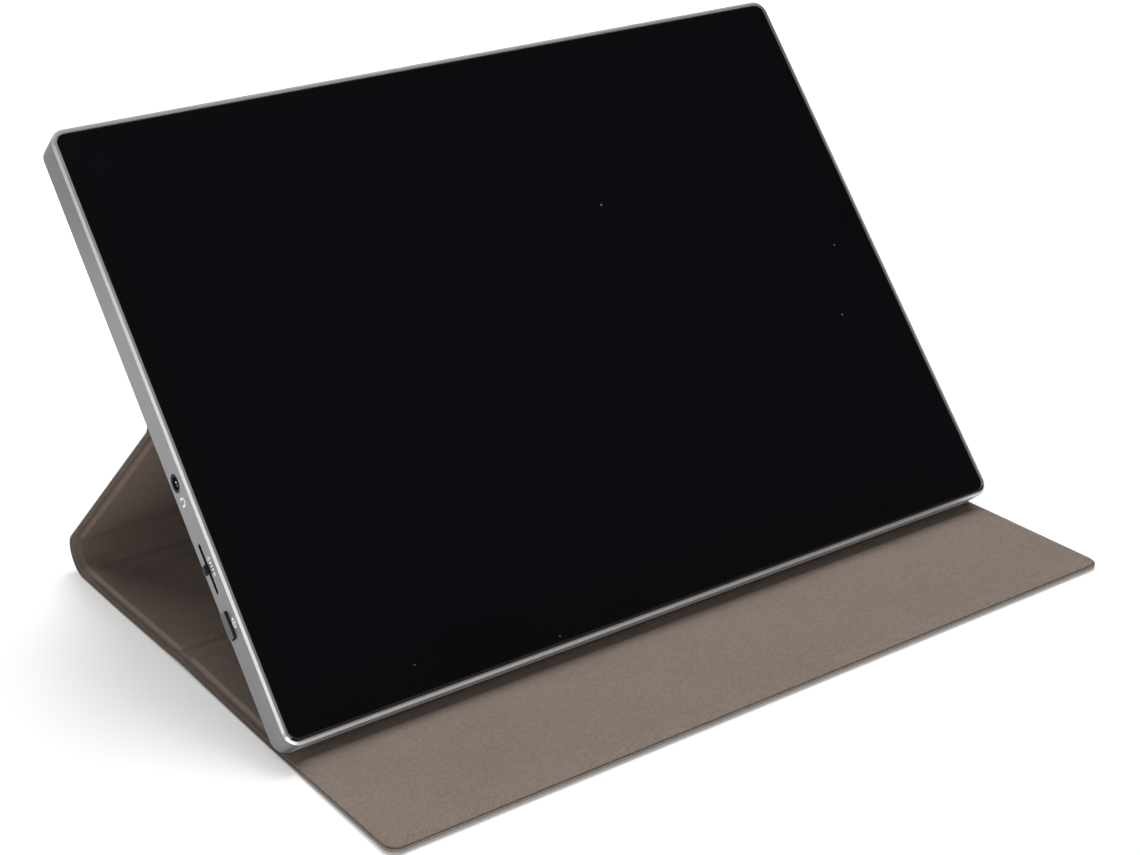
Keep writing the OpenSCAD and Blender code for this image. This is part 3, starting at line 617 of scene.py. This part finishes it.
def wave(u, v):
    out = np.zeros(np.broadcast(u, v).shape)
    for a, b, ph, amp in WAVES:
        out = out + amp * np.sin(a * u * 2 * math.pi / 2 + b * v * math.pi + ph)
    return out


def graded(lo, hi, marks, coarse, fine, reach):
    """Sorted positions from lo to hi: steps of fine at the marks, growing to coarse away from them."""
    out = [lo]
    while out[-1] < hi - 1e-6:
        x = out[-1]
        d = min([max(0.0, abs(x - m) - reach) for m in marks] + [1e9])
        step = min(coarse, fine + 0.35 * d)
        nxt = x + step
        ahead = [m for m in marks if m - reach > x + 1e-6]
        if ahead and nxt > min(ahead) - reach:
            nxt = max(min(ahead) - reach, x + fine)
        out.append(min(nxt, hi))
    if len(out) > 2 and out[-1] - out[-2] < fine * 0.5:
        out.pop(-2)
    return np.array(out)


def columns(inset):
    half = HALF - inset
    e = graded(0.0, half, [half - 0.3, half - (MARGIN - inset) + 0.3], 5.0, 0.22, 0.75)
    return np.concatenate([-e[::-1], e[1:]])


def rows(v0, v1):
    marks = [0.3, V_END - 0.3] + [x for ab in BOARDS for x in ab]
    base = set(np.round(graded(v0, v1, [m for m in marks if v0 - 2 <= m <= v1 + 2], 3.2, 0.25, 0.8), 4))
    for a, b, step in ((FLAP - 3.4, FLAP + 3.4, 0.34), (FLAP + MID - 3.4, FLAP + MID + 3.4, 0.34), (V_A - 4.5, V_STRUT0 + 2.5, 0.34), (V_FOLD0 - 2.5, V_FOLD1 + 2.5, 0.34)):
        for x in np.arange(a, b + 1e-6, step):
            if v0 < x < v1:
                base.add(round(float(x), 4))
    v = np.array(sorted(base))
    keep = [v[0]]
    for x in v[1:-1]:
        if x - keep[-1] > 0.12 and v[-1] - x > 0.12:
            keep.append(x)
    keep.append(v[-1])
    return np.array(keep)


def place_cover(u, v, h):
    """Points of the cover from its unfolded coordinates, in metres."""
    p, head = path_at(v.ravel())
    y = p[:, 0] - np.sin(head) * h.ravel()
    z = p[:, 1] + np.cos(head) * h.ravel() + lift(v.ravel())
    return np.stack([(COV_X + u.ravel()) * MM, (y + Y0) * MM, z * MM], 1)


def outline(u, v, inset):
    """Pulls the grid in round the free corners."""
    half = HALF - inset
    r = CORNER
    a = np.clip((r - (v - inset)) / r, 0, 1)
    b = np.clip((r - (V_END - inset - v)) / r, 0, 1)
    k = np.maximum(a, b)
    shrink = r - r * np.sqrt(np.clip(1 - k * k, 0, 1))
    t = np.clip((np.abs(u) - (half - 9.0)) / 9.0, 0, 1)
    return u - np.sign(u) * shrink * t


def slab(name, v0, v1, bottom, top, mats, inset, open_lo, open_hi, r=0.14):
    """A closed layer of the cover between two height functions, with its free edges rounded. mats: (top, edge, bottom)."""
    cols = columns(inset)
    vlo, vhi = (v0 if open_lo else v0 + inset), (v1 if open_hi else v1 - inset)
    rws = rows(vlo, vhi)
    n, m = len(cols), len(rws)
    U, V = np.meshgrid(cols, rws)
    # the outermost lines are used three times: pulled in by r at full height, then at the outline
    def grid(pull):
        u = U.copy(); v = V.copy()
        u[:, 0] += pull; u[:, -1] -= pull
        if not open_lo: v[0] += pull
        if not open_hi: v[-1] -= pull
        return outline(u, v, inset), v
    u1, v1g = grid(r)
    T = top(u1, v1g)
    Bt = bottom(u1, v1g)
    pts, flat = [], []
    def add(u, v, h):
        start = sum(len(p) for p in pts)
        pts.append(place_cover(u, v, h))
        flat.append(np.stack([u.ravel(), v.ravel(), h.ravel()], 1))
        return start + np.arange(u.size).reshape(u.shape)
    it = add(u1, v1g, T)
    ib = add(u1, v1g, Bt)
    faces, matid, sharp = [], [], []
    def quad(a, b, c, d, k):
        faces.append((a, b, c, d)); matid.append(k)
    for j in range(m - 1):
        for i in range(n - 1):
            quad(it[j, i], it[j, i + 1], it[j + 1, i + 1], it[j + 1, i], 0)
            quad(ib[j, i], ib[j + 1, i], ib[j + 1, i + 1], ib[j, i + 1], 2)
    # rim: walk round the boundary
    ring = [(0, i) for i in range(n)] + [(j, n - 1) for j in range(1, m)] + [(m - 1, i) for i in range(n - 2, -1, -1)] + [(j, 0) for j in range(m - 2, 0, -1)]
    u0, v0g = grid(0.0)
    ru = np.array([u0[q] for q in ring]); rv = np.array([v0g[q] for q in ring])
    rt = np.array([T[q] for q in ring]); rb = np.array([Bt[q] for q in ring])
    ra = add(ru, rv, rt - r)
    rbm = add(ru, rv, (rt + rb) / 2)
    rc = add(ru, rv, rb + r)
    L = len(ring)
    for k in range(L):
        k2 = (k + 1) % L
        q, q2 = ring[k], ring[k2]
        cap = (open_lo and q[0] == 0 and q2[0] == 0) or (open_hi and q[0] == m - 1 and q2[0] == m - 1)
        loops = [it[q], ra[k], rbm[k], rc[k], ib[q]]
        loops2 = [it[q2], ra[k2], rbm[k2], rc[k2], ib[q2]]
        for a in range(4):
            quad(loops[a], loops[a + 1], loops2[a + 1], loops2[a], 1)
            sharp.append(cap)
    me = bpy.data.meshes.new(name)
    P = np.concatenate(pts)
    me.from_pydata([tuple(p) for p in P], [], [tuple(int(x) for x in f) for f in faces])
    me.validate(clean_customdata=False)
    me.update()
    att = me.attributes.new("flat", "FLOAT_VECTOR", "POINT")
    att.data.foreach_set("vector", np.concatenate(flat).astype(np.float32).ravel())
    for mt in mats:
        me.materials.append(mt)
    me.polygons.foreach_set("material_index", np.array(matid, np.int32))
    me.polygons.foreach_set("use_smooth", np.ones(len(faces), bool))
    me.set_sharp_from_angle(angle=math.radians(50))
    ob = bpy.data.objects.new(name, me)
    scene.collection.objects.link(ob)
    return ob


LINING_INSET = 0.55
skin_lo = lambda u, v: np.full(u.shape, -0.55)
skin_hi = lambda u, v: np.full(u.shape, 0.05)
line_lo = lambda u, v: np.full(u.shape, 0.06)


def line_hi(u, v):
    rise = smooth01((board_inside(u, v) + 0.75) / 1.15)
    edge = np.minimum(HALF - np.abs(u), np.minimum(v, V_END - v))
    # the front flap is skived thin and flattened: no step shows there, only a soft roll to its edges
    x, y = HALF - 0.55 - np.abs(u), v - 0.55
    roll = 1 - np.hypot(np.maximum(3.2 - x, 0), np.maximum(3.2 - y, 0)) / 3.2
    back = smooth01((BOARDS[0][1] + 0.75 - v) / 1.6)
    flap = np.clip(np.sin(np.clip(roll, 0, 1) * math.pi / 2), 0, 1) * back
    on_flap = smooth01((49.5 - v) / 2.0)
    rise = np.maximum(flap * on_flap, rise * (1 - on_flap) * (v > 47))
    # the lining runs off the rear board on to the spine in one long soft slope
    off = smooth01((BOARDS[2][1] + 17.0 - v) / 17.0) * smooth01((HALF - MARGIN - np.abs(u) + 0.75) / 1.15) * (v > 150)
    rise = np.maximum(rise, off)
    thin = 0.12 * (1 - smooth01(edge / 2.2))
    return 0.55 - thin + 1.18 * rise + wave(u, v) * rise


SPLITS = [0.0, 79.0, 141.0, V_STRUT0 + 38.0, V_END]
PARTS = [
    ("front_flap", "mid_floor", FLAP - 2.8, FLAP + 2.8, ["front_flap", "mid_floor"]),
    ("mid_floor", "rear_floor", FLAP + MID - 2.8, FLAP + MID + 2.8, []),
    ("rear_floor", "strut", V_A - 3.5, V_STRUT0 + 3.5, ["rear_floor", "spine_lower", "spine_upper", "strut"]),
    ("strut", "monitor", V_FOLD0 - 1.0, V_FOLD1 + 1.0, ["back_panel"]),
]


def on_path(v):
    p, _ = path_at([v])
    return (COV_X * MM, (p[0, 0] + Y0) * MM, p[0, 1] * MM)


for k, (a, b, w0, w1, stands) in enumerate(PARTS):
    v0, v1 = SPLITS[k], SPLITS[k + 1]
    lo_open, hi_open = k > 0, k < len(PARTS) - 1
    names = ["front", "middle", "spine", "back"][k]
    sk = slab(f"cover_skin_{names}", v0, v1, skin_lo, skin_hi, (SKIN, EDGE, SKIN), 0.0, lo_open, hi_open)
    ln = slab(f"cover_lining_{names}", v0, v1, line_lo, line_hi, (LINING, EDGE, LINING), LINING_INSET, lo_open, hi_open, 0.1)
    for ob, layer in ((sk, "skin"), (ln, "lining")):
        on_path(w0)
        on_path(w1)
        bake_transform(ob)
        for s in stands:
            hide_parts(f"{s}_{layer}")

# ------------------------------------------------------------------ the monitor
soften_edges(NODES["rear_shell"], 0.1)
soften_edges(NODES["menu_knob"], 0.12)
soften_edges(NODES["power_button"], 0.12)
soften_edges(NODES["headphone_jack"], 0.1)
soften_edges(NODES["front_glass"], 0.2)


def side_point(s, h, out=0.0):
    """A point on the monitor's left wall, out mm proud of it."""
    return mon(-HW - out, s, h)


def stroke(name, pts, width, out=0.03, closed=False):
    """A printed line on the left wall: a thin raised ribbon with round ends through (s, h) points."""
    pts = [np.array(p, float) for p in pts]
    poly = []
    n = len(pts)
    def normal(i):
        a = pts[(i - 1) % n] if (closed or i > 0) else pts[i]
        b = pts[(i + 1) % n] if (closed or i < n - 1) else pts[i]
        t = (b - a) / np.linalg.norm(b - a)
        return np.array([-t[1], t[0]]), t
    L, R = [], []
    for i in range(n):
        nn, _ = normal(i)
        L.append(pts[i] + nn * width / 2); R.append(pts[i] - nn * width / 2)
    bm = []
    faces = []
    def vert(q, o):
        bm.append(tuple(side_point(q[0], q[1], o)))
        return len(bm) - 1
    def prism(loop):
        lo = [vert(q, -0.01) for q in loop]
        hi = [vert(q, out) for q in loop]
        k = len(loop)
        faces.append(hi)
        faces.append(lo[::-1])
        for i in range(k):
            j = (i + 1) % k
            faces.append([lo[i], lo[j], hi[j], hi[i]])
    if closed:
        for i in range(n):
            j = (i + 1) % n
            prism([L[i], R[i], R[j], L[j]])
    else:
        loop = list(L)
        nn, t = normal(n - 1)
        for a in np.linspace(0, math.pi, 9)[1:-1]:
            loop.append(pts[-1] + width / 2 * (nn * math.cos(a) + t * math.sin(a)))
        loop += R[::-1]
        nn, t = normal(0)
        for a in np.linspace(0, math.pi, 9)[1:-1]:
            loop.append(pts[0] + width / 2 * (-nn * math.cos(a) - t * math.sin(a)))
        prism(loop)
    me = bpy.data.meshes.new(name)
    me.from_pydata(bm, [], faces)
    me.validate()
    me.update()
    me.materials.append(INK_AND_PAINTED_GLOW)
    ob = bpy.data.objects.new(name, me)
    scene.collection.objects.link(ob)
    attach(ob, "monitor")
    return ob


# headphone sign: a headband open towards the back, with an ear pad at each end
arc = [(67.5 + 1.0 * math.sin(a), 4.42 + 1.12 * math.cos(a)) for a in np.linspace(-1.62, 1.62, 17)]
stroke("sign_headband", arc, 0.38)
stroke("sign_ear_upper", [(68.45, 4.25), (68.45, 3.6)], 0.62)
stroke("sign_ear_lower", [(66.55, 4.25), (66.55, 3.6)], 0.62)
# menu sign: three bars between two arrow heads, one for each way of the lever
for i, s in enumerate((48.5, 49.4, 50.3)):
    stroke(f"sign_menu_{i}", [(s, 5.95), (s, 7.05)], 0.36)
for name, s, d in (("down", 47.3, -1), ("up", 51.5, 1)):
    stroke(f"sign_menu_{name}", [(s - 0.35 * d, 5.85), (s + 0.42 * d, 6.5), (s - 0.35 * d, 7.15)], 0.36)
# power sign: a ring with a bar
ring = [(34.15 + 1.2 * math.sin(a), 6.72 + 0.74 * math.cos(a)) for a in np.linspace(0.5, 2 * math.pi - 0.5, 17)]
stroke("sign_power_ring", ring, 0.36)
stroke("sign_power_bar", [(34.15, 6.75), (34.15, 7.75)], 0.36)


def jack_contact():
    """The bright spring leaf just inside the headphone socket, on the side towards the back."""
    pts, faces = [], []
    n = 9
    for j, x in enumerate((0.75, 1.1, 1.7, 2.6, 3.6)):
        depth = (0.3, 0.12, 0.02, 0.12, 0.3)[j]
        for layer in (0.0, 0.12):
            for i in range(n):
                a = math.radians(-30 + 60 * i / (n - 1))
                r = 1.72 - 0.35 + depth * 0.6 + layer
                pts.append(tuple(mon(-HW + x, 72.76 + r * math.sin(a), 3.99 - r * math.cos(a))))
    def ix(j, layer, i):
        return (j * 2 + layer) * n + i
    for j in range(4):
        for i in range(n - 1):
            faces.append((ix(j, 0, i), ix(j, 0, i + 1), ix(j + 1, 0, i + 1), ix(j + 1, 0, i)))
            faces.append((ix(j, 1, i), ix(j + 1, 1, i), ix(j + 1, 1, i + 1), ix(j, 1, i + 1)))
        faces.append((ix(j, 0, 0), ix(j + 1, 0, 0), ix(j + 1, 1, 0), ix(j, 1, 0)))
        faces.append((ix(j, 0, n - 1), ix(j, 1, n - 1), ix(j + 1, 1, n - 1), ix(j + 1, 0, n - 1)))
    for i in range(n - 1):
        faces.append((ix(0, 0, i), ix(0, 1, i), ix(0, 1, i + 1), ix(0, 0, i + 1)))
        faces.append((ix(4, 0, i), ix(4, 0, i + 1), ix(4, 1, i + 1), ix(4, 1, i)))
    me = bpy.data.meshes.new("jack_contact")
    me.from_pydata(pts, [], faces)
    me.validate(); me.update()
    me.materials.append(GOLD)
    ob = bpy.data.objects.new("jack_contact", me)
    scene.collection.objects.link(ob)
    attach(ob, "monitor")


jack_contact()

# ------------------------------------------------------------------ stage and light
def stage():
    me = bpy.data.meshes.new("stage_floor")
    s = 6.0
    me.from_pydata([(-s, -s, -0.0002), (s, -s, -0.0002), (s, s, -0.0002), (-s, s, -0.0002)], [], [(0, 1, 2, 3)])
    m = Mat("pale_floor", Roughness=0.9, Specular_IOR_Level=0.1)
    v = m.place((1, 1, 1))
    n = m.noise(v, 3.0, 2, 0.5)
    m.set("Base Color", m.ramp(n, [(0.3, (0.86, 0.86, 0.86)), (0.7, (0.88, 0.88, 0.88))]))
    far = m.node("ShaderNodeVectorMath", operation="LENGTH")
    m.link(v, far.inputs[0])
    m.b.inputs["Emission Color"].default_value = (1, 1, 1, 1)
    m.set("Emission Strength", m.maprange(far.outputs["Value"], 0.1, 0.9, 0.2, 0.5, True))
    me.materials.append(m.m)
    ob = bpy.data.objects.new("stage_floor", me)
    scene.collection.objects.link(ob)


stage()


def area(name, loc, aim, size, power, size_y=None):
    l = bpy.data.lights.new(name, "AREA")
    l.energy = power
    l.size = size
    if size_y:
        l.shape = "RECTANGLE"
        l.size_y = size_y
    ob = bpy.data.objects.new(name, l)
    scene.collection.objects.link(ob)
    ob.location = loc
    ob.rotation_mode = "QUATERNION"
    ob.rotation_quaternion = (Vector(loc) - Vector(aim)).to_track_quat("Z", "Y")
    return ob


area("light_top", (0.6, 0.3, 1.45), (0.05, 0.05, 0), 1.15, 17.3)
area("light_back", (-0.3, 1.35, 0.75), (0, 0, 0.03), 1.4, 8, 0.5)
area("light_left", (-1.26, -0.86, 1.15), (0, 0, 0.06), 1.0, 5.2)
area("light_front", (-0.85, -1.85, 0.24), (0, 0, 0.02), 1.7, 12, 0.4)

w = bpy.data.worlds.new("studio")
scene.world = w
w.use_nodes = True
wt = w.node_tree
bg = wt.nodes["Background"]
tc = wt.nodes.new("ShaderNodeTexCoord")
sep = wt.nodes.new("ShaderNodeSeparateXYZ")
rmp = wt.nodes.new("ShaderNodeValToRGB")
wt.links.new(tc.outputs["Generated"], sep.inputs[0])
wt.links.new(sep.outputs["Z"], rmp.inputs[0])
wt.links.new(rmp.outputs[0], bg.inputs["Color"])
# dim all round, a little brighter at the horizon, and a large soft ceiling straight above
SKY = ((0.0, 0.15), (0.07, 0.06), (0.3, 0.03), (0.86, 0.03), (0.93, 0.8), (1.0, 1.0))
el = rmp.color_ramp.elements
while len(el) < len(SKY):
    el.new(0.5)
for e, (p, c) in zip(el, SKY):
    e.position = p
    e.color = (c, c, c, 1)
# the right side of the room is darker than the left
dim = wt.nodes.new("ShaderNodeMapRange")
dim.interpolation_type = "SMOOTHSTEP"
for k, x in zip(("From Min", "From Max", "To Min", "To Max"), (-0.1, 0.7, 2.0, 0.8)):
    dim.inputs[k].default_value = x
wt.links.new(sep.outputs["X"], dim.inputs["Value"])
wt.links.new(dim.outputs[0], bg.inputs["Strength"])
scene.view_settings.view_transform = "Standard"
